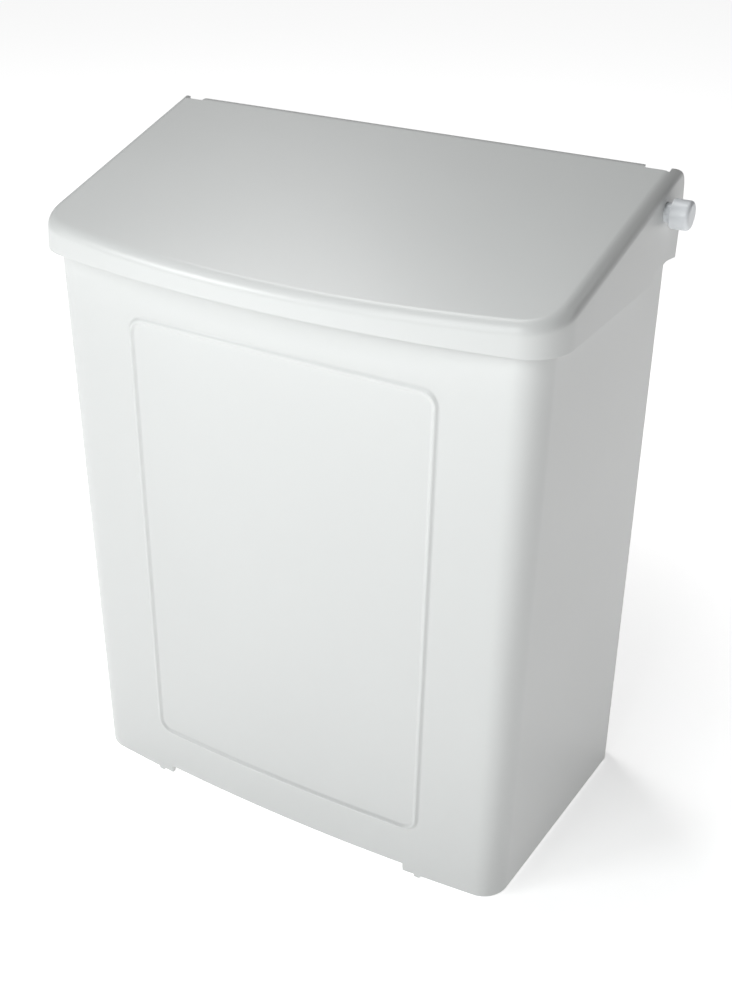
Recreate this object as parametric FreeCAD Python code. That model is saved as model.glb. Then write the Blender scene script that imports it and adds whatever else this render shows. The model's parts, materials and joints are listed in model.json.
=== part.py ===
"""Wall-mounted waste bin with a sloping hinged lid.

Frame: +Z up, +X across the bin, +Y towards the wall.
The origin is the middle of the four wall screw holes, in the plane of the wall.
All dimensions are in millimetres.
"""
import FreeCAD, Part
import math
import os

# ---- driving dimensions -------------------------------------------------
OVERALL_DEPTH = 137.5          # lid's front lip to the wall
WALL_Y = 0.0                   # plane of the wall
LIP_Y = -OVERALL_DEPTH         # foremost point of the lid
MID_Y = LIP_Y / 2
BACK_DEPTH = 7.0               # back plate with its ribs
REAR_Y = WALL_Y - BACK_DEPTH   # rear edges of the body's sides
BASE_Z = -145.0                # body's lower edge
FOOT_Z = BASE_Z - 1.4          # level of the feet
BODY_TOP_Z = BASE_Z + 300.0    # level of the body's upper design section

# body: pairs hold the value at the lower edge and at the upper section
BODY_REAR_HALF = (125.7, 122.0)
BODY_FRONT_HALF = (115.5, 115.6)
BODY_DEPTH = (119.6, 115.4)    # rear edge to the front corners
BODY_BOW = (6.1, 0.8)          # swelling of the front face
BODY_CORNER_R = 13.5
BODY_WALL = 2.5

# lid
LID_WALL = 2.3
LID_REAR_HALF = 127.2          # half width of the skirt at the body's rear edge
LID_TAPER = 0.045              # narrowing per mm towards the front
LID_DRAFT = 0.055              # narrowing per mm upwards
LID_BOW = 12.2                 # swelling of the front lip
LID_CORNER_R = 20.0
LID_EDGE_R = 6.0               # rounding round the top
LID_INNER_R = 1.2
LID_SKIRT_Z = BASE_Z + 276.6   # lower edge of the skirt
LID_REAR_Z = BASE_Z + 320.0    # height of the top at the body's rear edge
LID_SLOPE = math.atan(0.255)
EAR_BACK = 3.5                 # ears stand behind the body's rear edge
EAR_LOW_Y = REAR_Y - 0.8       # rear end of the ears' lower edge
EAR_STEP_Y = REAR_Y - 26.0     # the skirt is shallower behind this line
EAR_STEP_Z = BASE_Z + 281.0
EAR_ARCH = (REAR_Y - 11.0, BASE_Z + 282.4)   # crown of the ears' arched lower edge
EAR_ROUND_R = 8.0
TONGUE_HALF = 110.5            # rear tongue of the top, between the ears
TONGUE_Y = REAR_Y - 0.5
TONGUE_CORNER_R = 4.0
TONGUE_EDGE_R = 2.2
NOTCH_Y = REAR_Y - 6.5
EAR_HALF = 121.4               # inner side of the ears
FLANGE_BOTTOM_Z = BASE_Z + 292.0

# hinge rod, its bosses and its retaining washer
PIVOT_Y = REAR_Y - 15.5
PIVOT_Z = BASE_Z + 304.2
ROD_R = 4.0
ROD_END_X = -124.8
ROD_CHAMFER = 0.6
HINGE_CLEAR = 0.06             # radial running clearance in the ears
ROD_HEAD_R = 6.1
ROD_HEAD_X = 126.2             # inner face of the head
ROD_HEAD_L = 9.3
ROD_HEAD_EDGE_R = 1.6
BOSS_IN_X = 114.0
BOSS_OUT_X = 121.9
BOSS_R = 7.6
WASHER_R = 7.0
WASHER_T = 0.8
RIM_GAP = 0.6                  # lid's underside above the body's rim
SWEEP_R = 20.6                 # reach of the top's rear corners round the pivot
HEEL_ANGLE = -64.0             # direction from the pivot to the lug's heel

# front panel bead
BEAD_HALF = 73.7               # centre line of the bead, half width
BEAD_Z = (BASE_Z + 28.2, BASE_Z + 253.2)
BEAD_W = 2.6
BEAD_H = 0.9
BEAD_CORNER_R = 6.5

# lower edge
NOTCH_HALF = 68.3
NOTCH_H = 4.2
FOOT_X = 75.9
FOOT_W = 3.0
REAR_FOOT_W = 12.0

# back plate and its screws
PLATE_T = 2.5
PLATE_TOP_Z = BASE_Z + 285.5
PLATE_INSET = 2.5
RIM_W = 5.0
RIB_T = 3.0
RIB_XS = (-75.0, 0.0, 75.0)
RIB_ZS = (BASE_Z + 100.0, BASE_Z + 190.0)
WALL_HOLE_R = 2.5
WALL_HOLE_DX = 150.0
WALL_HOLE_DZ = 180.0
WALL_PAD_R = 9.0
SCREW_X = 112.5
SCREW_ZS = (BASE_Z + 16.0, BASE_Z + 140.0, BASE_Z + 258.0)
SCREW_PAD_R = 6.5
SCREW_BOSS_R = 4.0
SCREW_BOSS_L = 14.0
SCREW_R = 1.45
SCREW_L = 12.0
SCREW_TIP_L = 2.0
SCREW_HEAD_R = 3.0
SCREW_HEAD_H = 1.7
SCREW_SUNK = 0.7               # head's face below the wall side of its pad
SCREW_CLEAR = 0.3
DRIVE_W = 0.7
DRIVE_L = 3.4
DRIVE_DEEP = 1.0
WEB_T = 3.0

# floor panel
FLOOR_Z = BASE_Z + 7.0
FLOOR_T = 2.5
FLOOR_CLEAR = 0.4
LEDGE_T = 2.0
LEDGE_W = 7.0
LEDGE_L = 16.0
LEDGE_YS = (REAR_Y - 28.0, REAR_Y - 95.0)
LOCATOR_H = 3.5                # rib round the bucket's foot
LOCATOR_T = 1.4
LOCATOR_CLEAR = 0.6

# liner bucket: pairs hold the value at its foot and at its rim
LINER_Z = (FLOOR_Z + FLOOR_T, BASE_Z + 262.0)
LINER_REAR_HALF = (102.5, 109.0)
LINER_FRONT_HALF = (98.5, 105.0)
LINER_REAR_Y = (REAR_Y - 28.0, REAR_Y - 25.0)
LINER_FRONT_Y = (REAR_Y - 111.0, REAR_Y - 107.0)
LINER_BOW = (3.0, 1.5)
LINER_CORNER_R = 16.0
LINER_FOOT_R = 4.0
LINER_WALL = 1.8
LINER_RIM_W = 3.5
LINER_RIM_T = 2.0
RING_T = 2.2
RING_SKIRT = 9.0
RING_CLEAR = 0.5
RING_WALL = 1.6

FAR = 200.0                    # reach of cutting tools past the bin


def mix(pair, z, low=BASE_Z, high=BODY_TOP_Z):
    """Linear value between a pair given at two levels."""
    return pair[0] + (pair[1] - pair[0]) * (z - low) / (high - low)


def side_slope(z):
    """Widening of the body per mm towards the rear."""
    return (mix(BODY_REAR_HALF, z) - mix(BODY_FRONT_HALF, z)) / mix(BODY_DEPTH, z)


def side_half(y, z):
    """Half width of the body, outside, at a place on its sides."""
    return mix(BODY_REAR_HALF, z) + side_slope(z) * (y - REAR_Y)


def bowed_outline(z, rear_half, front_half, rear_y, front_y, bow):
    """Closed plan outline: straight back and sides, bowed front."""
    back_left = FreeCAD.Vector(-rear_half, rear_y, z)
    back_right = FreeCAD.Vector(rear_half, rear_y, z)
    front_left = FreeCAD.Vector(-front_half, front_y, z)
    front_right = FreeCAD.Vector(front_half, front_y, z)
    crown = FreeCAD.Vector(0, front_y - bow, z)
    return Part.Wire([
        Part.makeLine(back_right, back_left),
        Part.makeLine(back_left, front_left),
        Part.Arc(front_left, crown, front_right).toShape(),
        Part.makeLine(front_right, back_right),
    ])


def upright_edges(solid, rear=False):
    """Edges that climb the solid at its front corners, or at its rear ones."""
    found = []
    for edge in solid.Edges:
        first, last = edge.Vertexes[0].Point, edge.Vertexes[-1].Point
        climbs = abs(first.z - last.z) > 0.5 * solid.BoundBox.ZLength
        behind = min(first.y, last.y) > MID_Y
        if climbs and behind == rear:
            found.append(edge)
    return found


def side_prism(points, half_width):
    """Prism along X whose section is a list of (y, z) points."""
    corners = [FreeCAD.Vector(-half_width, y, z) for y, z in points]
    face = Part.Face(Part.makePolygon(corners + corners[:1]))
    return face.extrude(FreeCAD.Vector(2 * half_width, 0, 0))


def box(x0, x1, y0, y1, z0, z1):
    """Box between two stations on each axis; the X stations come in any order."""
    low, high = sorted((x0, x1))
    return Part.makeBox(high - low, y1 - y0, z1 - z0, FreeCAD.Vector(low, y0, z0))


def rod_x(x0, x1, radius, y=PIVOT_Y, z=PIVOT_Z):
    """Cylinder along X between two stations."""
    centre = FreeCAD.Vector(min(x0, x1), y, z)
    return Part.makeCylinder(radius, abs(x1 - x0), centre, FreeCAD.Vector(1, 0, 0))


def rod_y(x, z, y0, y1, radius):
    """Cylinder along Y between two stations."""
    return Part.makeCylinder(radius, y1 - y0, FreeCAD.Vector(x, y0, z), FreeCAD.Vector(0, 1, 0))


# ---- body ---------------------------------------------------------------
def body_block(inset, z_low, z_high, back_y):
    """Solid of the body's outline, drawn in by an inset, between two levels."""
    sections = []
    for z in (z_low, z_high):
        front_half = mix(BODY_FRONT_HALF, z) - inset + side_slope(z) * inset
        front_y = REAR_Y - mix(BODY_DEPTH, z) + inset
        sections.append(bowed_outline(z, side_half(back_y, z) - inset, front_half,
                                      back_y, front_y, mix(BODY_BOW, z)))
    block = Part.makeLoft(sections, True, True)
    return block.makeFillet(BODY_CORNER_R - inset, upright_edges(block))


def top_z(y):
    """Height of the lid's top plane."""
    return LID_REAR_Z + (y - REAR_Y) * math.tan(LID_SLOPE)


def round_pivot(radius, degrees):
    """Point at a radius and direction from the pivot, in the middle plane."""
    turn = math.radians(degrees)
    return FreeCAD.Vector(0, PIVOT_Y + radius * math.cos(turn), PIVOT_Z + radius * math.sin(turn))


def above_rim():
    """Everything above the body's rim: sloping rim, lug round the pivot, low rear corner."""
    drop = (LID_WALL + RIM_GAP) / math.cos(LID_SLOPE)
    lug_r = (top_z(PIVOT_Y) - PIVOT_Z) * math.cos(LID_SLOPE) - LID_WALL - RIM_GAP
    front = LIP_Y - FAR
    start = FreeCAD.Vector(0, front, top_z(front) - drop)
    crest = round_pivot(lug_r, 90 + math.degrees(LID_SLOPE))
    heel = round_pivot(lug_r, HEEL_ANGLE)
    step = round_pivot(SWEEP_R, HEEL_ANGLE)
    behind = FreeCAD.Vector(0, FAR, step.z)
    high_back = FreeCAD.Vector(0, FAR, LID_REAR_Z + FAR)
    high_front = FreeCAD.Vector(0, front, LID_REAR_Z + FAR)
    outline = Part.Wire([
        Part.makeLine(start, crest),
        Part.Arc(crest, round_pivot(lug_r, 15), heel).toShape(),
        Part.makePolygon([heel, step, behind, high_back, high_front, start]),
    ])
    prism = Part.Face(outline).extrude(FreeCAD.Vector(2 * FAR, 0, 0))
    prism.translate(FreeCAD.Vector(-FAR, 0, 0))
    return prism


def rounded_window(half, z_low, z_high, radius, y0, y1):
    """Prism along Y with a rounded rectangular section."""
    window = box(-half, half, y0, y1, z_low, z_high)
    along = [e for e in window.Edges if e.BoundBox.YLength > 1]
    return window.makeFillet(radius, along)


def panel_bead():
    """Raised bead that frames the front panel."""
    half_w = BEAD_W / 2
    outer = rounded_window(BEAD_HALF + half_w, BEAD_Z[0] - half_w, BEAD_Z[1] + half_w,
                           BEAD_CORNER_R + half_w, LIP_Y - 5, MID_Y)
    inner = rounded_window(BEAD_HALF - half_w, BEAD_Z[0] + half_w, BEAD_Z[1] - half_w,
                           BEAD_CORNER_R - half_w, LIP_Y - 6, MID_Y + 1)
    skin = body_block(-BEAD_H, BASE_Z, BODY_TOP_Z, REAR_Y)
    core = body_block(BODY_WALL / 2, BASE_Z - 1, BODY_TOP_Z + 1, REAR_Y + 1)
    return outer.cut(inner).common(skin).cut(core)


def screw_boss(side, z):
    """Boss for a back plate screw, joined to the side wall by a web."""
    front_y = REAR_Y - SCREW_BOSS_L
    boss = rod_y(side * SCREW_X, z, front_y, REAR_Y, SCREW_BOSS_R)
    reach = side_half(front_y, z) - BODY_WALL / 2
    web = box(side * SCREW_X, side * reach, front_y, REAR_Y, z - WEB_T / 2, z + WEB_T / 2)
    return boss.fuse(web)


def floor_ledge(side, y):
    """Small shelf under the floor panel."""
    wall = side_half(y - LEDGE_L / 2, FLOOR_Z) - BODY_WALL / 2
    return box(side * (wall - LEDGE_W), side * wall, y - LEDGE_L / 2, y + LEDGE_L / 2,
               FLOOR_Z - LEDGE_T, FLOOR_Z)


def front_foot(side):
    """Foot under the front wall, beside the notch."""
    slab = box(side * FOOT_X - FOOT_W / 2, side * FOOT_X + FOOT_W / 2, LIP_Y, MID_Y, FOOT_Z, BASE_Z + 1)
    outer = body_block(0, FOOT_Z - 1, BASE_Z + 3, REAR_Y)
    inner = body_block(BODY_WALL, FOOT_Z - 2, BASE_Z + 4, REAR_Y + 10)
    return slab.common(outer.cut(inner))


def make_body_shell():
    """Front and sides in one moulding, open at the back, top and bottom."""
    outer = body_block(0, BASE_Z, BODY_TOP_Z + 20, REAR_Y)
    inner = body_block(BODY_WALL, BASE_Z - 5, BODY_TOP_Z + 30, REAR_Y + 10)
    shell = outer.cut(inner)
    for side in (-1, 1):
        shell = shell.fuse(rod_x(side * BOSS_IN_X, side * BOSS_OUT_X, BOSS_R))
        for z in SCREW_ZS:
            shell = shell.fuse(screw_boss(side, z))
        for y in LEDGE_YS:
            shell = shell.fuse(floor_ledge(side, y))
        shell = shell.fuse(front_foot(side))
    shell = shell.cut(above_rim()).fuse(panel_bead())
    shell = shell.cut(box(-NOTCH_HALF, NOTCH_HALF, LIP_Y, MID_Y, BASE_Z - 5, BASE_Z + NOTCH_H))
    shell = shell.cut(rod_x(-FAR, FAR, ROD_R))
    for x, z in screw_places():
        shell = shell.cut(rod_y(x, z, REAR_Y - SCREW_L - 1, REAR_Y + 1, SCREW_R))
    return shell.removeSplitter()


# ---- lid ----------------------------------------------------------------
def lid_half(y):
    """Half width of the skirt's lower edge."""
    return LID_REAR_HALF + (y - REAR_Y) * LID_TAPER


def lid_block(inset, back_y, low_z, edge_r):
    """Solid of the lid's outline, drawn in by an inset, under the sloping top."""
    sections = []
    for z in (low_z, LID_REAR_Z + 25):
        draw = inset + (z - LID_SKIRT_Z) * LID_DRAFT
        corner_y = LIP_Y + LID_BOW + draw
        sections.append(bowed_outline(z, lid_half(back_y) - draw, lid_half(corner_y) - draw,
                                      back_y, corner_y, LID_BOW))
    block = Part.makeLoft(sections, True, True)
    block = block.makeFillet(LID_CORNER_R - inset, upright_edges(block))
    drop = inset / math.cos(LID_SLOPE)
    front, back = LIP_Y - FAR, FAR
    block = block.cut(side_prism([(front, top_z(front) - drop), (back, top_z(back) - drop),
                                  (back, LID_REAR_Z + FAR), (front, LID_REAR_Z + FAR)], FAR))
    rounded = []
    for edge in block.Edges:
        middle = edge.valueAt((edge.FirstParameter + edge.LastParameter) / 2)
        on_top = abs(middle.z - (top_z(middle.y) - drop)) < 0.05
        if on_top and middle.y < back_y - 0.1:
            rounded.append(edge)
    return block.makeFillet(edge_r, rounded)


def ear_profile():
    """Prism along X with the side view of the lid, rounded behind the pivot."""
    back = REAR_Y + EAR_BACK
    front = LIP_Y - 10
    high = top_z(back)
    lower = [(front, LID_SKIRT_Z - 5), (EAR_STEP_Y, LID_SKIRT_Z - 5), (EAR_STEP_Y, EAR_STEP_Z),
             EAR_ARCH, (EAR_LOW_Y, EAR_STEP_Z)]
    prism = side_prism(lower + [(back, PIVOT_Z), (back, high), (front, top_z(front))], FAR)
    corner = [e for e in prism.Edges
              if e.BoundBox.XLength > FAR and abs(e.BoundBox.YMin - back) < 0.01
              and abs(e.BoundBox.ZMin - high) < 0.01]
    return prism.makeFillet(EAR_ROUND_R, corner)


def crest_waste():
    """Sharp material outside the rounded rear top edge of the tongue."""
    centre_y = TONGUE_Y - TONGUE_EDGE_R
    centre_z = top_z(centre_y) - TONGUE_EDGE_R / math.cos(LID_SLOPE)
    touch_y = centre_y - TONGUE_EDGE_R * math.sin(LID_SLOPE)
    touch_z = centre_z + TONGUE_EDGE_R * math.cos(LID_SLOPE)
    back = TONGUE_Y + 1
    wedge = side_prism([(touch_y, touch_z), (touch_y, touch_z + 1), (back, top_z(back) + 1),
                        (back, centre_z), (centre_y, centre_z)], EAR_HALF)
    return wedge.cut(rod_x(-EAR_HALF - 1, EAR_HALF + 1, TONGUE_EDGE_R, centre_y, centre_z))


def round_tongue(lid):
    """Round the tongue's upright corners."""
    corners = []
    for edge in lid.Edges:
        span = edge.BoundBox
        upright = span.XLength < 0.01 and span.YLength < 0.01 and span.ZLength > 1
        at_corner = abs(abs(span.XMin) - TONGUE_HALF) < 0.01 and abs(span.YMin - TONGUE_Y) < 0.01
        if upright and at_corner:
            corners.append(edge)
    return lid.makeFillet(TONGUE_CORNER_R, corners)


def make_lid():
    """Sloping lid with a skirt, two hinge ears and a rear tongue with a flange."""
    back = REAR_Y + EAR_BACK + 3
    outer = lid_block(0, back, LID_SKIRT_Z, LID_EDGE_R)
    inner = lid_block(LID_WALL, back + 5, LID_SKIRT_Z - 5, LID_INNER_R)
    flange = box(-TONGUE_HALF, TONGUE_HALF, TONGUE_Y - LID_WALL, TONGUE_Y, FLANGE_BOTTOM_Z, LID_REAR_Z + 5)
    lid = outer.cut(inner).fuse(flange.common(outer))
    low, high = LID_SKIRT_Z - 1, LID_REAR_Z + 20
    lid = lid.cut(box(-EAR_HALF, EAR_HALF, TONGUE_Y, back + 10, low, high))
    for side in (-1, 1):
        lid = lid.cut(box(side * TONGUE_HALF, side * EAR_HALF, NOTCH_Y, back + 10, low, high))
    lid = lid.common(ear_profile())
    lid = lid.cut(rod_x(-FAR, FAR, ROD_R + HINGE_CLEAR))
    return round_tongue(lid.removeSplitter()).cut(crest_waste())


# ---- hinge ----------------------------------------------------------------
def ring_edges(solid, x):
    """Circular edges of a turned part that lie at a station along X."""
    return [e for e in solid.Edges if e.BoundBox.XLength < 0.01 and abs(e.BoundBox.XMin - x) < 0.01]


def make_hinge_rod():
    """Rod through both ears and both bosses, with a round head on the right."""
    head_end = ROD_HEAD_X + ROD_HEAD_L
    head = rod_x(ROD_HEAD_X, head_end, ROD_HEAD_R)
    head = head.makeFillet(ROD_HEAD_EDGE_R, ring_edges(head, head_end))
    stem = rod_x(ROD_END_X, ROD_HEAD_X, ROD_R)
    stem = stem.makeChamfer(ROD_CHAMFER, ring_edges(stem, ROD_END_X))
    return head.fuse(stem).removeSplitter()


def make_rod_washer():
    """Push-on washer that keeps the rod from sliding out to the right."""
    inner_x = -BOSS_IN_X + WASHER_T
    return rod_x(-BOSS_IN_X, inner_x, WASHER_R).cut(rod_x(-BOSS_IN_X - 1, inner_x + 1, ROD_R))


# ---- back plate -----------------------------------------------------------
def plate_slab(inset, y0, y1, z0, z1):
    """Slab with the back plate's tapering outline."""
    corners = []
    for side, z in ((-1, z0), (1, z0), (1, z1), (-1, z1)):
        half = mix(BODY_REAR_HALF, z) - PLATE_INSET - inset
        corners.append(FreeCAD.Vector(side * half, y0, z))
    return Part.Face(Part.makePolygon(corners + corners[:1])).extrude(FreeCAD.Vector(0, y1 - y0, 0))


def wall_hole_places():
    return [(sx * WALL_HOLE_DX / 2, sz * WALL_HOLE_DZ / 2) for sx in (-1, 1) for sz in (-1, 1)]


def screw_places():
    return [(side * SCREW_X, z) for side in (-1, 1) for z in SCREW_ZS]


def make_back_plate():
    """Plate with a rim and ribs on its wall side, holes for wall screws and two rear feet."""
    plate = plate_slab(0, REAR_Y, WALL_Y, BASE_Z, PLATE_TOP_Z)
    deep_y = REAR_Y + PLATE_T
    pocket = plate_slab(RIM_W, deep_y, WALL_Y + 1, BASE_Z + RIM_W, PLATE_TOP_Z - RIM_W)
    for x, z in wall_hole_places():
        pocket = pocket.cut(rod_y(x, z, REAR_Y, WALL_Y + 2, WALL_PAD_R))
    for x, z in screw_places():
        pocket = pocket.cut(rod_y(x, z, REAR_Y, WALL_Y + 2, SCREW_PAD_R))
    for x in RIB_XS:
        pocket = pocket.cut(box(x - RIB_T / 2, x + RIB_T / 2, REAR_Y, WALL_Y + 2, BASE_Z, PLATE_TOP_Z))
    for z in RIB_ZS:
        pocket = pocket.cut(box(-FAR, FAR, REAR_Y, WALL_Y + 2, z - RIB_T / 2, z + RIB_T / 2))
    plate = plate.cut(pocket)
    for x in (-FOOT_X, FOOT_X):
        foot = box(x - REAR_FOOT_W / 2, x + REAR_FOOT_W / 2, REAR_Y, WALL_Y, FOOT_Z, BASE_Z + 1)
        plate = plate.fuse(foot)
    for x, z in wall_hole_places():
        plate = plate.cut(rod_y(x, z, REAR_Y - 1, WALL_Y + 1, WALL_HOLE_R))
    for x, z in screw_places():
        plate = plate.cut(rod_y(x, z, REAR_Y - 1, WALL_Y + 1, SCREW_R + SCREW_CLEAR))
        face_y = WALL_Y - SCREW_SUNK
        sink = Part.makeCone(SCREW_HEAD_R + SCREW_CLEAR, SCREW_R + SCREW_CLEAR, SCREW_HEAD_H,
                             FreeCAD.Vector(x, face_y, z), FreeCAD.Vector(0, -1, 0))
        plate = plate.cut(sink.fuse(rod_y(x, z, face_y, WALL_Y + 1, SCREW_HEAD_R + SCREW_CLEAR)))
    return plate.removeSplitter()


def make_screw(x, z):
    """Countersunk self-tapping screw with a cross recess."""
    head_y = WALL_Y - SCREW_SUNK
    tip_y = REAR_Y - SCREW_L
    away = FreeCAD.Vector(0, -1, 0)
    head = Part.makeCone(SCREW_HEAD_R, SCREW_R, SCREW_HEAD_H, FreeCAD.Vector(x, head_y, z), away)
    shank = rod_y(x, z, tip_y + SCREW_TIP_L, head_y - SCREW_HEAD_H / 2, SCREW_R)
    tip = Part.makeCone(SCREW_R, SCREW_R / 5, SCREW_TIP_L, FreeCAD.Vector(x, tip_y + SCREW_TIP_L, z), away)
    screw = head.fuse([shank, tip])
    for wide, tall in ((DRIVE_W, DRIVE_L), (DRIVE_L, DRIVE_W)):
        screw = screw.cut(box(x - wide / 2, x + wide / 2, head_y - DRIVE_DEEP, head_y + 1,
                              z - tall / 2, z + tall / 2))
    return screw.removeSplitter()


def make_screws():
    """The six screws that hold the back plate to the body."""
    return Part.makeCompound([make_screw(x, z) for x, z in screw_places()])


# ---- floor panel ------------------------------------------------------------
def make_floor_panel():
    """Panel on the body's ledges, with a low rib that centres the liner bucket."""
    panel = body_block(BODY_WALL + FLOOR_CLEAR, FLOOR_Z, FLOOR_Z + FLOOR_T, REAR_Y - FLOOR_CLEAR)
    for side in (-1, 1):
        relief_x = side * (SCREW_X - SCREW_BOSS_R - 2)
        panel = panel.cut(box(relief_x, side * FAR, REAR_Y - SCREW_BOSS_L - 2, REAR_Y + 1,
                              FLOOR_Z - 1, FLOOR_Z + FLOOR_T + 1))
    foot_z = LINER_Z[0]
    outside = liner_block(-LOCATOR_CLEAR - LOCATOR_T, foot_z - 0.5, foot_z + LOCATOR_H)
    inside = liner_block(-LOCATOR_CLEAR, foot_z - 1, foot_z + LOCATOR_H + 1)
    return panel.fuse(outside.cut(inside)).removeSplitter()


# ---- liner bucket and bag ring ------------------------------------------------
def liner_block(inset, z_low, z_high):
    """Solid of the liner's outline, drawn in by an inset, between two levels."""
    sections = []
    for z in (z_low, z_high):
        rear_half = mix(LINER_REAR_HALF, z, *LINER_Z) - inset
        front_half = mix(LINER_FRONT_HALF, z, *LINER_Z) - inset
        rear_y = mix(LINER_REAR_Y, z, *LINER_Z) - inset
        front_y = mix(LINER_FRONT_Y, z, *LINER_Z) + inset
        sections.append(bowed_outline(z, rear_half, front_half, rear_y, front_y,
                                      mix(LINER_BOW, z, *LINER_Z)))
    block = Part.makeLoft(sections, True, True)
    for rear in (False, True):
        block = block.makeFillet(LINER_CORNER_R - inset, upright_edges(block, rear))
    return block


def round_foot(block, foot_z, radius):
    """Round the lowest edges of a liner block."""
    return block.makeFillet(radius, [e for e in block.Edges if e.BoundBox.ZMax < foot_z + 0.01])


def make_liner_bucket():
    """Tapered bucket with a turned-out rim, standing on the floor panel."""
    foot_z, rim_z = LINER_Z
    bucket = round_foot(liner_block(0, foot_z, rim_z), foot_z, LINER_FOOT_R)
    rim = liner_block(-LINER_RIM_W, rim_z - LINER_RIM_T, rim_z)
    hollow_z = foot_z + LINER_WALL
    hollow = round_foot(liner_block(LINER_WALL, hollow_z, rim_z + 5), hollow_z, LINER_FOOT_R - LINER_WALL)
    return bucket.fuse(rim).cut(hollow).removeSplitter()


def make_bag_ring():
    """Frame that sits on the bucket's rim and holds a bag's edge down inside it."""
    top = LINER_Z[1]
    skirt_inset = LINER_WALL + RING_CLEAR
    plate = liner_block(-LINER_RIM_W, top, top + RING_T)
    skirt = liner_block(skirt_inset, top - RING_SKIRT, top + RING_T / 2)
    mouth = liner_block(skirt_inset + RING_WALL, top - RING_SKIRT - 5, top + RING_T + 5)
    return plate.fuse(skirt).cut(mouth).removeSplitter()


def main():
    os.makedirs("parts", exist_ok=True)
    nodes = {
        "body_shell": make_body_shell(),
        "lid": make_lid(),
        "hinge_rod": make_hinge_rod(),
        "hinge_rod_washer": make_rod_washer(),
        "back_plate": make_back_plate(),
        "back_plate_screws": make_screws(),
        "floor_panel": make_floor_panel(),
        "liner_bucket": make_liner_bucket(),
        "bag_ring": make_bag_ring(),
    }
    for name, shape in nodes.items():
        solids = shape.Solids
        whole = solids[0] if len(solids) == 1 else Part.makeCompound(solids)
        print(name, "solids", len(solids), "valid", whole.isValid(), "volume", round(whole.Volume, 1))
        whole.exportStep("parts/%s.step" % name)


main()
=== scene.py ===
"""Looks of the wall-mounted waste bin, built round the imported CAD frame. Metres, row frame."""
import json
import math

import bmesh
import bpy
from mathutils import Matrix, Vector


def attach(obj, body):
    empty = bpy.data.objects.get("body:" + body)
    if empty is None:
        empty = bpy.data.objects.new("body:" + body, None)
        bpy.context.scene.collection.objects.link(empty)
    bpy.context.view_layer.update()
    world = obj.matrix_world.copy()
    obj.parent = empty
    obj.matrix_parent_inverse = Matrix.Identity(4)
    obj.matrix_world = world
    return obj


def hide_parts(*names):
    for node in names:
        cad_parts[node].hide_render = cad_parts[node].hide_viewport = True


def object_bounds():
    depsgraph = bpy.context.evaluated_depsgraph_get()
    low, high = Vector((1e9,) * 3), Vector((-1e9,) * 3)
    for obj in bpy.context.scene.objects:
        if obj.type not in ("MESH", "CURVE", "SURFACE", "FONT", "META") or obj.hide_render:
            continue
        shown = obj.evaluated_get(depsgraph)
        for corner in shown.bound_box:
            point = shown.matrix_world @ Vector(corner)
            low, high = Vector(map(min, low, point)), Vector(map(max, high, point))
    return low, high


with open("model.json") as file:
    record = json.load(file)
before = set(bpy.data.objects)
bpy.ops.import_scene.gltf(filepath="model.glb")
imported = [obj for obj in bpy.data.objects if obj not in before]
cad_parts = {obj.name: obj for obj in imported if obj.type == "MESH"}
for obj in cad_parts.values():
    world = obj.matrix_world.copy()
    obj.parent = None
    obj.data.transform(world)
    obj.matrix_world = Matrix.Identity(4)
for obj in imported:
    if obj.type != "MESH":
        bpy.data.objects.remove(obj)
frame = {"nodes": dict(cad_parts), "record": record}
CAD_LOW, CAD_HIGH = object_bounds()
MM = 0.001

# ---- view of the reference --------------------------------------------------
AZIMUTH, ELEVATION, ROLL = math.radians(29.203), math.radians(30.774), math.radians(0.39)
CAMERA_PLACE = Vector((264.4, -519.6, 321.7)) * MM
LENS = 45.785

# ---- dimensions of the design, in millimetres ---------------------------------
BASE_Z, FOOT_Z, REAR_Y, LIP_Y = -145.0, -146.4, -7.0, -137.5
DESIGN_H = 300.0                 # the paired values below hold at the base and this far above it
REAR_HALF, FRONT_HALF = (125.7, 122.0), (115.5, 115.6)
DEPTH, BOW = (119.6, 115.4), (6.1, 0.8)
CORNER_R, WALL = 13.5, 2.5
EDGE_R = 0.5                     # rounding of the wall's free edges
PIVOT = (-22.5, 159.2)
BEAD_HALF, BEAD_LOW, BEAD_HIGH = 73.7, BASE_Z + 28.2, BASE_Z + 253.2
BEAD_R, BEAD_H, BEAD_REACH = 6.5, 0.95, 1.75
NOTCH_HALF, NOTCH_H = 68.3, 4.2
FOOT_X, FOOT_HALF, STEP = 75.9, 1.5, 0.12
LID_SLOPE, TOP_DROP = math.atan(0.255), 2.9     # lid's top plate and the gap under it
LUG_R, SWEEP_R, HEEL = 8.6, 20.6, math.radians(-64.0)
ROD_R, EAR_BORE_R = 4.0, 4.06     # the casing's bosses grip the rod, the lid turns on it
HINGE_BOSS_R, HINGE_BOSS_X = 7.6, (114.0, 121.9)
SCREW_X, SCREW_ZS = 112.5, (BASE_Z + 16.0, BASE_Z + 140.0, BASE_Z + 258.0)
SCREW_BOSS_R, SCREW_BOSS_L, SCREW_WEB_HALF = 4.0, 14.0, 1.5
PILOT_R, PILOT_L = 1.45, 13.0
LEDGE_BACKS, LEDGE_HALF, LEDGE_REACH = (28.0, 95.0), 8.0, 7.0
LEDGE_LOW, LEDGE_HIGH = BASE_Z + 5.0, BASE_Z + 7.0
RIM_H = 320.0                    # casing's rear height before the gap under the lid is taken off
CLEAR, BORE_CLEAR = 200.0, 190.0    # half lengths of cuts that go right through


def level(pair, z):
    """Linear value between the base and the upper design section."""
    return pair[0] + (pair[1] - pair[0]) * (z - BASE_Z) / DESIGN_H


def side_half(y, z):
    """Half width of the casing at a place on its sides."""
    slope = (level(REAR_HALF, z) - level(FRONT_HALF, z)) / level(DEPTH, z)
    return level(REAR_HALF, z) + slope * (y - REAR_Y)


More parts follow.
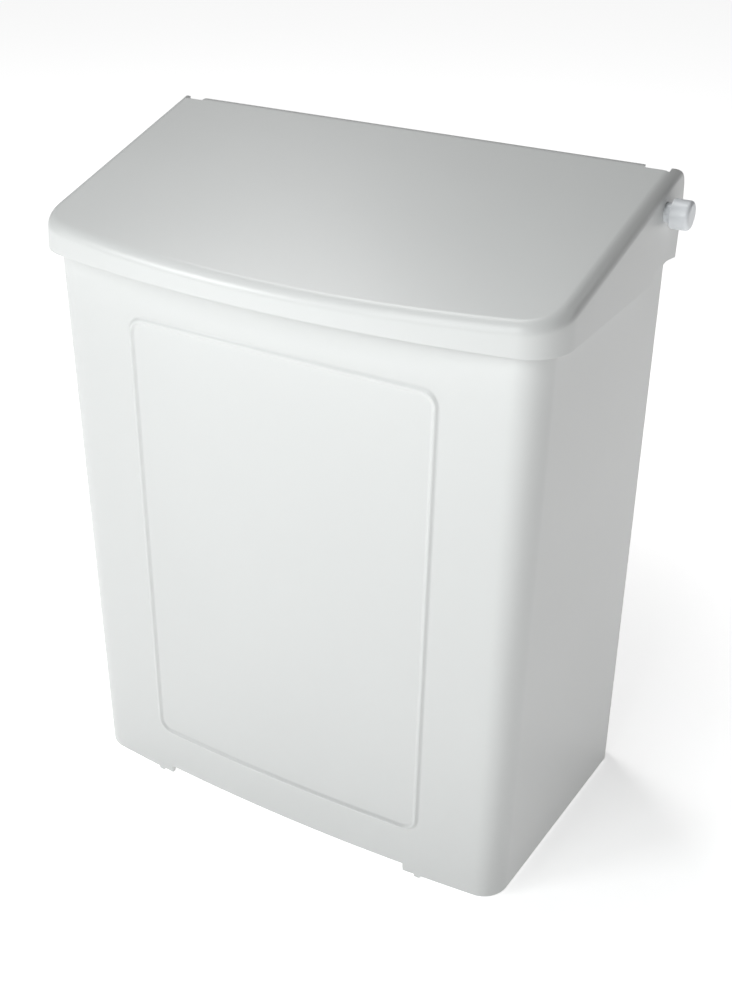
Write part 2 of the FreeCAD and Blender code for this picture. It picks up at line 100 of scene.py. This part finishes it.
def plan(z, inset):
    """Fillet centre and its two tangent points for the outline at a level, and the bow's circle."""
    slope = (level(REAR_HALF, z) - level(FRONT_HALF, z)) / level(DEPTH, z)
    front_y = REAR_Y - level(DEPTH, z) + inset
    half, bow, radius = level(FRONT_HALF, z) - inset + slope * inset, level(BOW, z), CORNER_R - inset
    bow_r = (half * half + bow * bow) / (2 * bow)
    bow_y = front_y - bow + bow_r
    along = Vector((-slope, -1.0)).normalized()
    inward = Vector((along.y, -along.x))
    start = Vector((side_half(REAR_Y, z) - inset, REAR_Y)) + inward * radius
    offset = start - Vector((0.0, bow_y))
    reach, b = bow_r - radius, offset.dot(along)
    travel = -b + math.sqrt(b * b - offset.length_squared + reach * reach)
    centre = start + along * travel
    side_touch = centre - inward * radius
    front_touch = centre + (centre - Vector((0.0, bow_y))).normalized() * radius
    return centre, side_touch, front_touch, bow_y, bow_r, radius


def spot(kind, t, z, inset):
    """Point of the right half of the outline, at a level and drawn in by an inset."""
    centre, side_touch, front_touch, bow_y, bow_r, radius = plan(z, inset)
    if kind == "side":
        y = REAR_Y + t * (side_touch.y - REAR_Y)
        return Vector((side_half(y, z) - inset, y))
    if kind == "corner":
        first = math.atan2(*(side_touch - centre).yx)
        last = math.atan2(*(front_touch - centre).yx)
        turn = first + (last - first) * t
        return centre + Vector((math.cos(turn), math.sin(turn))) * radius
    x = FLANK_X + (front_touch.x - FLANK_X) * t if kind == "flank" else t
    return Vector((x, bow_y - math.sqrt(bow_r * bow_r - x * x)))


def bead_height(x, z):
    """Height of the rounded bead that frames the front panel."""
    middle, tall = (BEAD_LOW + BEAD_HIGH) / 2, (BEAD_HIGH - BEAD_LOW) / 2
    out_x, out_z = abs(x) - BEAD_HALF + BEAD_R, abs(z - middle) - tall + BEAD_R
    away = math.hypot(max(out_x, 0.0), max(out_z, 0.0)) + min(max(out_x, out_z), 0.0) - BEAD_R
    share = min(abs(away) / BEAD_REACH, 1.0)
    return BEAD_H * (0.5 + 0.5 * math.cos(math.pi * share))


def spread(low, high, step):
    """Even stations from low to high, about a step apart."""
    count = max(1, round((high - low) / step))
    return [low + (high - low) * i / count for i in range(count + 1)]


FLANK_X = 90.0                   # between here and the corner the columns follow the corner
BEAD_SIDE_XS, BEAD_STEP = (64.8, 76.2), 0.48    # fine columns and rows, to carry the bead
BARE_STEP, EDGE_XS = 7.2, [FLANK_X, 84.0, 80.0, 61.5]


def casing_columns():
    """Stations round the outline, right rear to left rear: (sign, kind, t, pinch)."""
    depth = 100.0                # about the length of a side, to place its rounded rear edge
    edge = [(0.0, EDGE_R), (0.3 * EDGE_R / depth, EDGE_R * 0.3), (EDGE_R / depth, 0.0)]
    half = [("side", t, pinch) for t, pinch in edge]
    half += [("side", t, 0.0) for t in spread(0.03, 1.0, 0.07)]
    half += [("corner", t, 0.0) for t in spread(0.0, 1.0, 1 / 16)[1:]]
    half += [("flank", t, 0.0) for t in (0.7, 0.35)]
    steps = [NOTCH_HALF - STEP, NOTCH_HALF + STEP]
    for foot_edge in (FOOT_X - FOOT_HALF, FOOT_X + FOOT_HALF):
        steps += [foot_edge - STEP, foot_edge + STEP]
    near = STEP + 0.01           # a fine column this close to a step would make a sliver
    fine = [x for x in spread(*BEAD_SIDE_XS, BEAD_STEP) if min(abs(x - s) for s in steps) > near]
    front = EDGE_XS + steps + fine + spread(BARE_STEP, 8 * BARE_STEP, BARE_STEP)
    front = sorted(set(front), reverse=True)
    half += [("front", x, 0.0) for x in front]
    left = [(-1, kind, t, pinch) for kind, t, pinch in reversed(half)]
    return [(1,) + column for column in half] + [(1, "front", 0.0, 0.0)] + left


def low_edge(kind, x):
    """Level of the casing's lower edge: a wide notch in the front, with a small foot beside it."""
    if kind != "front":
        return BASE_Z
    if abs(x) < NOTCH_HALF:
        return BASE_Z + NOTCH_H
    return FOOT_Z if abs(abs(x) - FOOT_X) < FOOT_HALF else BASE_Z


# Rows of the wall's mesh, from the base up; close together where the bead crosses.
OUTER_ROWS = ([BASE_Z + 8, BASE_Z + 16, BASE_Z + 22] + spread(BASE_Z + 25.4, BASE_Z + 37.4, BEAD_STEP)
              + spread(BASE_Z + 50, BASE_Z + 234, 14) + spread(BASE_Z + 244, BASE_Z + 256, BEAD_STEP)
              + [BASE_Z + 262])
INNER_ROWS = [BASE_Z + h for h in (262, 200, 140, 80, 40, 8)]
CASING_HIGH = BASE_Z + 318


def casing_blank():
    """Front and sides as one wall of even thickness, its top not yet cut."""
    bm = bmesh.new()
    loops = []
    for sign, kind, t, pinch in casing_columns():
        low = low_edge(kind, t)
        third = 0.3 * EDGE_R
        section = [(0, CASING_HIGH)] + [(0, z) for z in reversed(OUTER_ROWS)]
        section += [(0, low + EDGE_R), (third, low + third), (EDGE_R, low)]
        section += [(WALL - EDGE_R, low), (WALL - third, low + third), (WALL, low + EDGE_R)]
        section += [(WALL, z) for z in reversed(INNER_ROWS)] + [(WALL, CASING_HIGH)]
        loop = []
        for inset, z in section:
            place = spot(kind, t, z, min(max(inset, pinch), WALL - pinch))
            beaded = inset == 0 and kind in ("front", "flank")
            y = place.y - (bead_height(place.x, z) if beaded else 0.0)
            loop.append(bm.verts.new(Vector((sign * place.x, y, z)) * MM))
        loops.append(loop)
    for one, two in zip(loops, loops[1:]):
        for k in range(len(one)):
            n = (k + 1) % len(one)
            bm.faces.new((one[k], one[n], two[n], two[k]))
    bm.faces.new(loops[0][::-1])
    bm.faces.new(loops[-1])
    bmesh.ops.recalc_face_normals(bm, faces=bm.faces)
    return bm


def prism(bm, outline, axis, low, high):
    """Closed prism of a plane outline along an axis (0 = X, 1 = Y, 2 = Z)."""
    def place(a, b, along):
        return Vector(((along, a, b), (a, along, b), (a, b, along))[axis]) * MM
    ends = [[bm.verts.new(place(a, b, along)) for a, b in outline] for along in (low, high)]
    sides = [(ends[0][k], ends[0][(k + 1) % len(outline)], ends[1][(k + 1) % len(outline)], ends[1][k])
             for k in range(len(outline))]
    faces = [bm.faces.new(f) for f in sides + [tuple(ends[0][::-1]), tuple(ends[1])]]
    bmesh.ops.recalc_face_normals(bm, faces=faces)


def arc(centre, radius, first, last, count):
    """Points on an arc, both ends included."""
    turns = [first + (last - first) * k / count for k in range(count + 1)]
    return [(centre[0] + radius * math.cos(t), centre[1] + radius * math.sin(t)) for t in turns]


def ring(centre, radius, count=48):
    """Points of a full circle, the first not repeated."""
    return arc(centre, radius, 0.0, 2 * math.pi, count)[:-1]


def as_object(name, bm):
    """Object of a finished bmesh."""
    mesh = bpy.data.meshes.new(name)
    bm.to_mesh(mesh)
    bm.free()
    piece = bpy.data.objects.new(name, mesh)
    bpy.context.scene.collection.objects.link(piece)
    return piece


def carve(piece, other, kind):
    """Boolean with another object, which is used up."""
    step = piece.modifiers.new("carve", "BOOLEAN")
    step.operation, step.solver, step.object = kind, "EXACT", other
    depsgraph = bpy.context.evaluated_depsgraph_get()
    mesh = bpy.data.meshes.new_from_object(piece.evaluated_get(depsgraph))
    piece.modifiers.clear()
    old, piece.data = piece.data, mesh
    bpy.data.meshes.remove(old)
    spent = other.data
    bpy.data.objects.remove(other)
    bpy.data.meshes.remove(spent)


def casing_additions():
    """Hinge bosses, screw bosses with their webs, and the floor panel's ledges."""
    bm = bmesh.new()
    for side in (-1, 1):
        prism(bm, ring(PIVOT, HINGE_BOSS_R), 0, *sorted(side * x for x in HINGE_BOSS_X))
        for z in SCREW_ZS:
            front = REAR_Y - SCREW_BOSS_L
            web = side_half(front, z) - WALL / 2 - SCREW_X
            first = math.asin(SCREW_WEB_HALF / SCREW_BOSS_R)
            key = arc((0.0, 0.0), SCREW_BOSS_R, first, 2 * math.pi - first, 24)
            key += [(web, -SCREW_WEB_HALF), (web, SCREW_WEB_HALF)]
            prism(bm, [(side * (SCREW_X + a), z + b) for a, b in key], 1, front, REAR_Y - EDGE_R)
        for back in LEDGE_BACKS:
            front, rear = REAR_Y - back - LEDGE_HALF, REAR_Y - back + LEDGE_HALF
            wall = side_half(front, BASE_Z) - WALL / 2
            flat = [(wall - LEDGE_REACH, LEDGE_LOW), (wall, LEDGE_LOW),
                    (wall, LEDGE_HIGH), (wall - LEDGE_REACH, LEDGE_HIGH)]
            prism(bm, [(side * x, z) for x, z in flat], 1, front, rear)
    return as_object("additions", bm)


def casing_waste():
    """Everything above the rim, the rod's bore and the screws' pilot holes."""
    bm = bmesh.new()
    rim_z = BASE_Z + RIM_H - TOP_DROP / math.cos(LID_SLOPE)
    far, above = 60.0, 300.0
    start = (LIP_Y - far, rim_z + (LIP_Y - far - REAR_Y) * math.tan(LID_SLOPE))
    lug = arc(PIVOT, LUG_R, math.pi / 2 + LID_SLOPE, HEEL, 40)
    step = (PIVOT[0] + SWEEP_R * math.cos(HEEL), PIVOT[1] + SWEEP_R * math.sin(HEEL))
    outline = [start] + lug + [step, (far, step[1]), (far, above), (start[0], above)]
    prism(bm, outline, 0, -CLEAR, CLEAR)
    prism(bm, ring(PIVOT, ROD_R), 0, -BORE_CLEAR, BORE_CLEAR)
    for side in (-1, 1):
        for z in SCREW_ZS:
            prism(bm, ring((side * SCREW_X, z), PILOT_R, 16), 1, REAR_Y - PILOT_L, REAR_Y + 1.0)
    return as_object("waste", bm)


def make_casing():
    """Casing: the bare wall, with what is added to it and what is cut away."""
    casing = as_object("casing", casing_blank())
    carve(casing, casing_additions(), "UNION")
    carve(casing, casing_waste(), "DIFFERENCE")
    return casing


# ---- lid ----------------------------------------------------------------------
LID_HALF, LID_TAPER, LID_DRAFT, LID_BOW = 127.2, 0.045, 0.055, 12.2
LID_WALL, LID_CORNER_R, LID_EDGE_R, LID_INNER_R, LIP_R = 2.3, 20.0, 6.0, 1.2, 0.4
SKIRT_Z, LID_REAR_Z = BASE_Z + 276.6, BASE_Z + 320.0
EAR_HALF, TONGUE_HALF, TONGUE_Y, NOTCH_Y = 121.4, 110.5, REAR_Y - 0.5, REAR_Y - 6.5
TONGUE_CORNER_R, CREST_R, FLANGE_Z = 4.0, 2.2, BASE_Z + 292.0
EAR_BACK_Y, EAR_ROUND_R = REAR_Y + 3.5, 8.0
EAR_STEP_Y, EAR_STEP_Z = REAR_Y - 26.0, BASE_Z + 281.0
EAR_ARCH, EAR_HEEL_Y = (REAR_Y - 11.0, BASE_Z + 282.4), REAR_Y - 0.8
TOP_NORMAL = Vector((0.0, -math.sin(LID_SLOPE), math.cos(LID_SLOPE)))


def lid_top(y):
    """Height of the lid's top plane."""
    return LID_REAR_Z + (y - REAR_Y) * math.tan(LID_SLOPE)


def lid_wall(kind, t, z, inset, back_y):
    """Point and outward plan normal of the lid's right half, at a level and drawn in by an inset."""
    draw = inset + (z - SKIRT_Z) * LID_DRAFT
    radius = LID_CORNER_R - inset
    front_y = LIP_Y + LID_BOW + draw
    half = LID_HALF + (front_y - REAR_Y) * LID_TAPER - draw
    rear_half = LID_HALF + (back_y - REAR_Y) * LID_TAPER - draw
    bow_r = (half * half + LID_BOW * LID_BOW) / (2 * LID_BOW)
    bow = Vector((0.0, front_y - LID_BOW + bow_r))
    along = Vector((half - rear_half, front_y - back_y)).normalized()
    inward = Vector((along.y, -along.x))
    start = Vector((rear_half, back_y)) + inward * radius
    offset = start - bow
    reach, b = bow_r - radius, offset.dot(along)
    travel = -b + math.sqrt(b * b - offset.length_squared + reach * reach)
    centre = start + along * travel
    if kind == "side":
        return start - inward * radius + along * (travel * t), -inward
    last = (centre - bow).normalized()
    if kind == "corner":
        first = math.atan2(-inward.y, -inward.x)
        turn = first + (math.atan2(last.y, last.x) - first) * t
        out = Vector((math.cos(turn), math.sin(turn)))
        return centre + out * radius, out
    x = (centre + last * radius).x * (1.0 - t)
    place = Vector((x, bow.y - math.sqrt(bow_r * bow_r - x * x)))
    return place, (place - bow).normalized()


def lid_section(kind, t, inset, back_y, low_z, edge_r, steps):
    """One column of the lid's skin: up the wall, round the edge, on to the top plane."""
    high_z = low_z + 40.0
    base, out = lid_wall(kind, t, low_z, inset, back_y)
    high, _ = lid_wall(kind, t, high_z, inset, back_y)
    foot = Vector((base.x, base.y, low_z))
    climb = (Vector((high.x, high.y, high_z)) - foot).normalized()
    level_out = Vector((out.x, out.y, 0.0))
    normal = (level_out - climb * level_out.dot(climb)).normalized()
    below_top = Vector((0.0, REAR_Y, LID_REAR_Z)) - TOP_NORMAL * (inset + edge_r)
    centre = foot - normal * edge_r
    centre += climb * ((below_top - centre).dot(TOP_NORMAL) / climb.dot(TOP_NORMAL))
    cosine = normal.dot(TOP_NORMAL)
    towards_top = (TOP_NORMAL - normal * cosine).normalized()
    full = math.acos(cosine)
    section = [foot - level_out * LIP_R, foot - level_out * LIP_R * 0.3 + climb * LIP_R * 0.3,
               foot + climb * LIP_R]
    for k in range(steps + 1):
        turn = full * k / steps
        section.append(centre + (normal * math.cos(turn) + towards_top * math.sin(turn)) * edge_r)
    return section


def lid_block(name, inset, back_y, low_z, edge_r, steps):
    """Closed block of the lid's outline under its sloping, round-edged top."""
    half = [("side", t) for t in spread(0.0, 1.0, 0.1)]
    half += [("corner", t) for t in spread(0.0, 1.0, 1 / 24)[1:]]
    half += [("front", t) for t in spread(0.0, 1.0, 1 / 14)[1:]]
    bm = bmesh.new()
    right = [lid_section(kind, t, inset, back_y, low_z, edge_r, steps) for kind, t in half]
    left = [[Vector((-p.x, p.y, p.z)) for p in column] for column in reversed(right[:-1])]
    columns = [[bm.verts.new(p * MM) for p in column] for column in right + left]
    for one, two in zip(columns, columns[1:]):
        for k in range(len(one) - 1):
            bm.faces.new((one[k], one[k + 1], two[k + 1], two[k]))
    bm.faces.new([column[0] for column in columns])
    bm.faces.new([column[-1] for column in columns])
    bm.faces.new(columns[0][::-1] + columns[-1])
    bmesh.ops.recalc_face_normals(bm, faces=bm.faces)
    return as_object(name, bm)


def tongue_flange():
    """Downward flange behind the top's rear tongue."""
    bm = bmesh.new()
    high, front, rear = lid_top(TONGUE_Y) - LID_WALL / 2, TONGUE_Y - LID_WALL, TONGUE_Y + 1.0
    outline = [(front, FLANGE_Z), (rear, FLANGE_Z), (rear, high), (front, high)]
    prism(bm, outline, 0, -TONGUE_HALF, TONGUE_HALF)
    return as_object("flange", bm)


def ear_side_view():
    """Prism with the lid's side view: stepped lower edge, rounded behind the pivot."""
    bm = bmesh.new()
    front, low = LIP_Y - 10.0, SKIRT_Z - 5.0
    centre_y = EAR_BACK_Y - EAR_ROUND_R
    centre = (centre_y, lid_top(centre_y) - EAR_ROUND_R / math.cos(LID_SLOPE))
    crown = arc(centre, EAR_ROUND_R, 0.0, math.pi / 2 + LID_SLOPE, 20)
    arch = [(EAR_STEP_Y, EAR_STEP_Z), EAR_ARCH, (EAR_HEEL_Y, EAR_STEP_Z)]
    outline = [(front, low), (EAR_STEP_Y, low)] + arch + [(EAR_BACK_Y, PIVOT[1])] + crown
    outline += [(crown[-1][0], crown[-1][1] + 6.0), (front, 200.0)]
    prism(bm, outline, 0, -CLEAR, CLEAR)
    return as_object("side_view", bm)


def lid_waste():
    """Space between the ears and behind the tongue."""
    bm = bmesh.new()
    centre = (TONGUE_HALF - TONGUE_CORNER_R, TONGUE_Y - TONGUE_CORNER_R)
    corner = arc(centre, TONGUE_CORNER_R, 0.0, math.pi / 2, 8)
    right = [(EAR_HALF, 30.0), (EAR_HALF, NOTCH_Y), (TONGUE_HALF, NOTCH_Y)] + corner
    outline = right + [(-x, y) for x, y in reversed(right)]
    prism(bm, outline, 2, SKIRT_Z - 5.0, 210.0)
    return as_object("waste", bm)


def crest_and_bore_waste():
    """Sharp material outside the tongue's rounded crest, and the hinge bore of the ears."""
    bm = bmesh.new()
    centre_y = TONGUE_Y - CREST_R
    centre = (centre_y, lid_top(centre_y) - CREST_R / math.cos(LID_SLOPE))
    round_edge = arc(centre, CREST_R, math.pi / 2 + LID_SLOPE, 0.0, 8)
    touch, behind = round_edge[0], TONGUE_Y + 2.0
    above = touch[1] + 4.0
    outline = round_edge + [(behind, centre[1]), (behind, above), (touch[0], above)]
    prism(bm, outline, 0, -EAR_HALF + 0.5, EAR_HALF - 0.5)
    prism(bm, ring(PIVOT, EAR_BORE_R), 0, -BORE_CLEAR, BORE_CLEAR)
    return as_object("crest", bm)


def make_lid():
    """Lid: hollow block, rear flange, ears in side view, crest and bore."""
    back = EAR_BACK_Y + 6.0
    lid = lid_block("lid_cover", 0.0, back, SKIRT_Z, LID_EDGE_R, 8)
    carve(lid, lid_block("hollow", LID_WALL, back + 5.0, SKIRT_Z - 5.0, LID_INNER_R, 4), "DIFFERENCE")
    carve(lid, tongue_flange(), "UNION")
    carve(lid, lid_waste(), "DIFFERENCE")
    carve(lid, ear_side_view(), "INTERSECT")
    carve(lid, crest_and_bore_waste(), "DIFFERENCE")
    return lid


# ---- hinge rod ----------------------------------------------------------------
def turned(name, section, sides=96):
    """Closed turned part about the hinge line, from (x, radius) stations."""
    bm = bmesh.new()
    rings = [[bm.verts.new(Vector((x, a, b)) * MM) for a, b in ring(PIVOT, radius, sides)]
             for x, radius in section]
    for one, two in zip(rings, rings[1:]):
        for k in range(sides):
            n = (k + 1) % sides
            bm.faces.new((one[k], one[n], two[n], two[k]))
    bm.faces.new(rings[0][::-1])
    bm.faces.new(rings[-1])
    bmesh.ops.recalc_face_normals(bm, faces=bm.faces)
    return as_object(name, bm)


def make_rod():
    """Hinge rod: rounded tip, plain stem and a round-edged head on the right."""
    head_x, head_r, end_x, tip_x = 127.3, 6.1, 135.5, -124.8
    tip_round, inner_round, outer_round = 0.7, 0.8, 1.6
    left, outward, right = math.pi, math.pi / 2, 0.0
    section = [(tip_x, 2.6), (tip_x, 3.2)]
    section += arc((tip_x + tip_round, ROD_R - tip_round), tip_round, left, outward, 5)
    section += [(x, ROD_R) for x in (-60.0, 0.0, 60.0, head_x)] + [(head_x, head_r - inner_round)]
    section += arc((head_x + inner_round, head_r - inner_round), inner_round, left, outward, 5)[1:]
    section += arc((end_x - outer_round, head_r - outer_round), outer_round, outward, right, 8)
    section += [(end_x, 3.0), (end_x, 1.5)]
    return turned("hinge_pin", section)


# ---- node helpers -------------------------------------------------------------
class Graph:
    """Small helper round a material's node tree."""

    def __init__(self, name):
        self.material = bpy.data.materials.new(name)
        self.material.use_nodes = True
        self.tree = self.material.node_tree
        self.tree.nodes.clear()
        self.out = self.tree.nodes.new("ShaderNodeOutputMaterial")
        self.shader = self.tree.nodes.new("ShaderNodeBsdfPrincipled")
        self.link(self.shader.outputs["BSDF"], self.out.inputs["Surface"])
        self.place = self.tree.nodes.new("ShaderNodeTexCoord").outputs["Object"]

    def link(self, source, target):
        self.tree.links.new(source, target)

    def feed(self, value, target):
        """Link a socket, or set a plain value."""
        if isinstance(value, bpy.types.NodeSocket):
            self.link(value, target)
        else:
            target.default_value = value

    def noise(self, scale, detail=2.0, roughness=0.5, stretch=None):
        node = self.tree.nodes.new("ShaderNodeTexNoise")
        node.inputs["Scale"].default_value = scale
        node.inputs["Detail"].default_value = detail
        node.inputs["Roughness"].default_value = roughness
        place = self.place
        if stretch:
            mapping = self.tree.nodes.new("ShaderNodeMapping")
            mapping.inputs["Scale"].default_value = stretch
            self.link(place, mapping.inputs["Vector"])
            place = mapping.outputs["Vector"]
        self.link(place, node.inputs["Vector"])
        return node.outputs["Fac"]

    def span(self, value, low, high, to_low=0.0, to_high=1.0):
        node = self.tree.nodes.new("ShaderNodeMapRange")
        self.feed(value, node.inputs["Value"])
        node.inputs["From Min"].default_value = low
        node.inputs["From Max"].default_value = high
        node.inputs["To Min"].default_value = to_low
        node.inputs["To Max"].default_value = to_high
        return node.outputs["Result"]

    def maths(self, kind, a, b=0.0):
        node = self.tree.nodes.new("ShaderNodeMath")
        node.operation = kind
        self.feed(a, node.inputs[0])
        self.feed(b, node.inputs[1])
        return node.outputs[0]

    def mix(self, share, a, b):
        node = self.tree.nodes.new("ShaderNodeMix")
        node.data_type = "RGBA"
        self.feed(share, node.inputs["Factor"])
        self.feed(a, node.inputs["A"])
        self.feed(b, node.inputs["B"])
        return node.outputs["Result"]

    def bump(self, height, distance, under=None):
        node = self.tree.nodes.new("ShaderNodeBump")
        node.inputs["Distance"].default_value = distance
        node.inputs["Strength"].default_value = 1.0
        self.link(height, node.inputs["Height"])
        if under is not None:
            self.link(under, node.inputs["Normal"])
        return node.outputs["Normal"]

    def edges(self, radius):
        """1 near sharp edges, 0 on flat and gently curved faces."""
        bevel = self.tree.nodes.new("ShaderNodeBevel")
        bevel.samples = 6
        bevel.inputs["Radius"].default_value = radius
        geometry = self.tree.nodes.new("ShaderNodeNewGeometry")
        product = self.tree.nodes.new("ShaderNodeVectorMath")
        product.operation = "DOT_PRODUCT"
        self.link(bevel.outputs["Normal"], product.inputs[0])
        self.link(geometry.outputs["Normal"], product.inputs[1])
        return self.span(product.outputs["Value"], 0.98, 0.80)


def grey(level, tint=(1.0, 1.0, 1.0)):
    """Grey of a level, slightly tinted, with full alpha."""
    return tuple(level * t for t in tint) + (1.0,)


def moulded_plastic(name, colour, rough, grain=0.000012, wave=0.0003, mottle=0.045, worn=0.3):
    """Moulded plastic: fine spark-eroded grain, slow sink waves, faint clouds and rubbed edges."""
    g = Graph(name)
    clouds = g.noise(9.0, 1.0, 0.4)
    streaks = g.noise(38.0, 1.0, 0.5, (1.0, 1.0, 0.12))
    darker = tuple(c * (1.0 - mottle) for c in colour[:3]) + (1.0,)
    tone = g.mix(g.span(clouds, 0.0, 1.0), colour, darker)
    tone = g.mix(g.maths("MULTIPLY", g.span(streaks, 0.0, 1.0), 0.35), tone, darker)
    rim = g.edges(0.0009)
    rubbed = tuple(min(1.0, c * 1.05) for c in colour[:3]) + (1.0,)
    tone = g.mix(g.maths("MULTIPLY", rim, worn), tone, rubbed)
    g.link(tone, g.shader.inputs["Base Color"])
    fine = g.noise(2600.0, 3.0, 0.65)
    patch = g.noise(22.0, 1.5, 0.5)
    roughness = g.span(patch, 0.0, 1.0, rough - 0.02, rough + 0.07)
    roughness = g.maths("ADD", roughness, g.maths("MULTIPLY", rim, 0.05))
    g.link(roughness, g.shader.inputs["Roughness"])
    g.shader.inputs["IOR"].default_value = 1.49
    slow = g.bump(g.noise(9.0, 1.0, 0.4), wave)
    g.link(g.bump(fine, grain, slow), g.shader.inputs["Normal"])
    return g.material


def plated_steel(name, colour, rough):
    """Zinc or bare steel with fine scratches and blotchy sheen."""
    g = Graph(name)
    spangle = g.noise(700.0, 4.0, 0.6)
    dark = tuple(c * 0.7 for c in colour[:3]) + (1.0,)
    g.link(g.mix(g.span(spangle, 0.35, 0.7), colour, dark), g.shader.inputs["Base Color"])
    g.shader.inputs["Metallic"].default_value = 1.0
    scratches = g.noise(1500.0, 4.0, 0.7, (1.0, 1.0, 0.08))
    g.link(g.span(scratches, 0.3, 0.7, rough - 0.08, rough + 0.12), g.shader.inputs["Roughness"])
    g.link(g.bump(scratches, 0.00002), g.shader.inputs["Normal"])
    return g.material


WHITE = grey(0.685, (0.985, 1.0, 0.99))
MATERIALS = {
    "casing_plastic": moulded_plastic("casing_plastic", WHITE, 0.30),
    "lid_plastic": moulded_plastic("lid_plastic", WHITE, 0.30),
    "rod_plastic": moulded_plastic("rod_plastic", grey(0.80, (0.97, 1.0, 1.03)), 0.30),
    "back_plastic": moulded_plastic("back_plastic", grey(0.66), 0.55, 0.00007),
    "liner_plastic": moulded_plastic("liner_plastic", grey(0.36, (0.97, 1.0, 1.0)), 0.52, 0.00007),
    "ring_plastic": moulded_plastic("ring_plastic", grey(0.52, (0.98, 1.0, 1.0)), 0.45),
    "spring_steel": plated_steel("spring_steel", grey(0.45), 0.35),
    "zinc_steel": plated_steel("zinc_steel", grey(0.62, (0.98, 1.0, 1.02)), 0.32),
}
SLOT_OF = {s["node"]: s["material_slot"] for s in frame["record"]["subparts"]}


def dress(piece, slot_name):
    piece.data.materials.clear()
    piece.data.materials.append(MATERIALS[slot_name])


for node, piece in frame["nodes"].items():
    dress(piece, SLOT_OF[node])

SHARP = math.radians(38.0)       # edges that turn more than this are shaded as creases


def stand_for(piece, node, body, slot_name):
    """Finish a generated piece that is shown in place of a CAD node."""
    for face in piece.data.polygons:
        face.use_smooth = True
    piece.data.set_sharp_from_angle(angle=SHARP)
    even = piece.modifiers.new("even", "WEIGHTED_NORMAL")
    even.keep_sharp = True
    dress(piece, slot_name)
    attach(piece, body)
    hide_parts(node)


stand_for(make_casing(), "body_shell", "bin", "casing_plastic")
stand_for(make_lid(), "lid", "lid", "lid_plastic")
stand_for(make_rod(), "hinge_rod", "bin", "rod_plastic")


# ---- floor, light and camera ------------------------------------------------------
GLOW_NEAR, GLOW_FAR = 0.18, 0.36    # metres from the origin where the floor's glow rises


def plain_surface(name, level, glow):
    """Pale matt surface, lit a little from within so that it stays white away from the lamps."""
    g = Graph(name)
    speck = g.noise(90.0, 3.0, 0.5)
    tone = g.mix(g.span(speck, 0.3, 0.7), grey(level), grey(level * 0.985))
    g.link(tone, g.shader.inputs["Base Color"])
    g.shader.inputs["Roughness"].default_value = 0.9
    g.shader.inputs["Specular IOR Level"].default_value = 0.1
    away = g.tree.nodes.new("ShaderNodeVectorMath")
    away.operation = "LENGTH"
    g.link(g.place, away.inputs[0])
    g.shader.inputs["Emission Color"].default_value = (1.0, 1.0, 1.0, 1.0)
    strength = g.span(away.outputs["Value"], GLOW_NEAR, GLOW_FAR, *glow)
    g.link(strength, g.shader.inputs["Emission Strength"])
    return g.material


def make_floor():
    half, z = 6.0, CAD_LOW.z
    corners = [(-half, -half, z), (half, -half, z), (half, half, z), (-half, half, z)]
    mesh = bpy.data.meshes.new("floor")
    mesh.from_pydata(corners, [], [(0, 1, 2, 3)])
    floor = bpy.data.objects.new("floor", mesh)
    bpy.context.scene.collection.objects.link(floor)
    mesh.materials.append(plain_surface("floor_white", 0.93, (0.50, 0.88)))


def soft_box(name, place, aim, width, height, power, tint=(1.0, 1.0, 1.0)):
    light = bpy.data.lights.new(name, "AREA")
    light.shape = "RECTANGLE"
    light.size, light.size_y = width, height
    light.energy = power
    light.color = tint
    lamp = bpy.data.objects.new(name, light)
    lamp.location = place
    lamp.visible_camera = False
    lamp.rotation_mode = "QUATERNION"
    lamp.rotation_quaternion = (Vector(aim) - Vector(place)).to_track_quat("-Z", "Y")
    bpy.context.scene.collection.objects.link(lamp)


def make_world(level):
    world = bpy.data.worlds.new("studio")
    world.use_nodes = True
    world.node_tree.nodes["Background"].inputs["Color"].default_value = (1.0, 1.0, 1.0, 1.0)
    world.node_tree.nodes["Background"].inputs["Strength"].default_value = level
    bpy.context.scene.world = world


def make_camera():
    data = bpy.data.cameras.new("camera")
    data.sensor_width = 36.0
    data.lens = LENS
    data.clip_start, data.clip_end = 0.01, 60.0
    camera = bpy.data.objects.new("camera", data)
    back = Vector((math.sin(AZIMUTH) * math.cos(ELEVATION), -math.cos(AZIMUTH) * math.cos(ELEVATION),
                   math.sin(ELEVATION)))
    side = Vector((0, 0, 1)).cross(back).normalized()
    up = back.cross(side)
    right = side * math.cos(ROLL) + up * math.sin(ROLL)
    top = up * math.cos(ROLL) - side * math.sin(ROLL)
    turn = Matrix((right, top, back)).transposed().to_4x4()
    camera.matrix_world = Matrix.Translation(CAMERA_PLACE) @ turn
    bpy.context.scene.collection.objects.link(camera)
    bpy.context.scene.camera = camera


make_floor()
make_world(0.03)
# A small lamp before the front, a large one far to the left, a long one whose reflection lies on
# the lid, and one behind on the right for the lid's rounded edge.
soft_box("key", (0.04, -0.42, 0.30), (0, -0.06, 0.0), 0.25, 0.25, 0.72, (0.98, 1.0, 1.0))
soft_box("left", (-1.1, -1.4, 0.65), (0, -0.06, 0.0), 0.5, 0.5, 10.8, (0.98, 1.0, 1.0))
soft_box("top", (-0.40, 0.21, 1.17), (0, -0.10, 0.12), 0.35, 0.8, 5.7)
soft_box("edge", (1.25, 0.80, 1.13), (0, -0.06, 0.1), 0.3, 0.3, 1.4)
make_camera()
bpy.context.scene.view_settings.view_transform = "Standard"
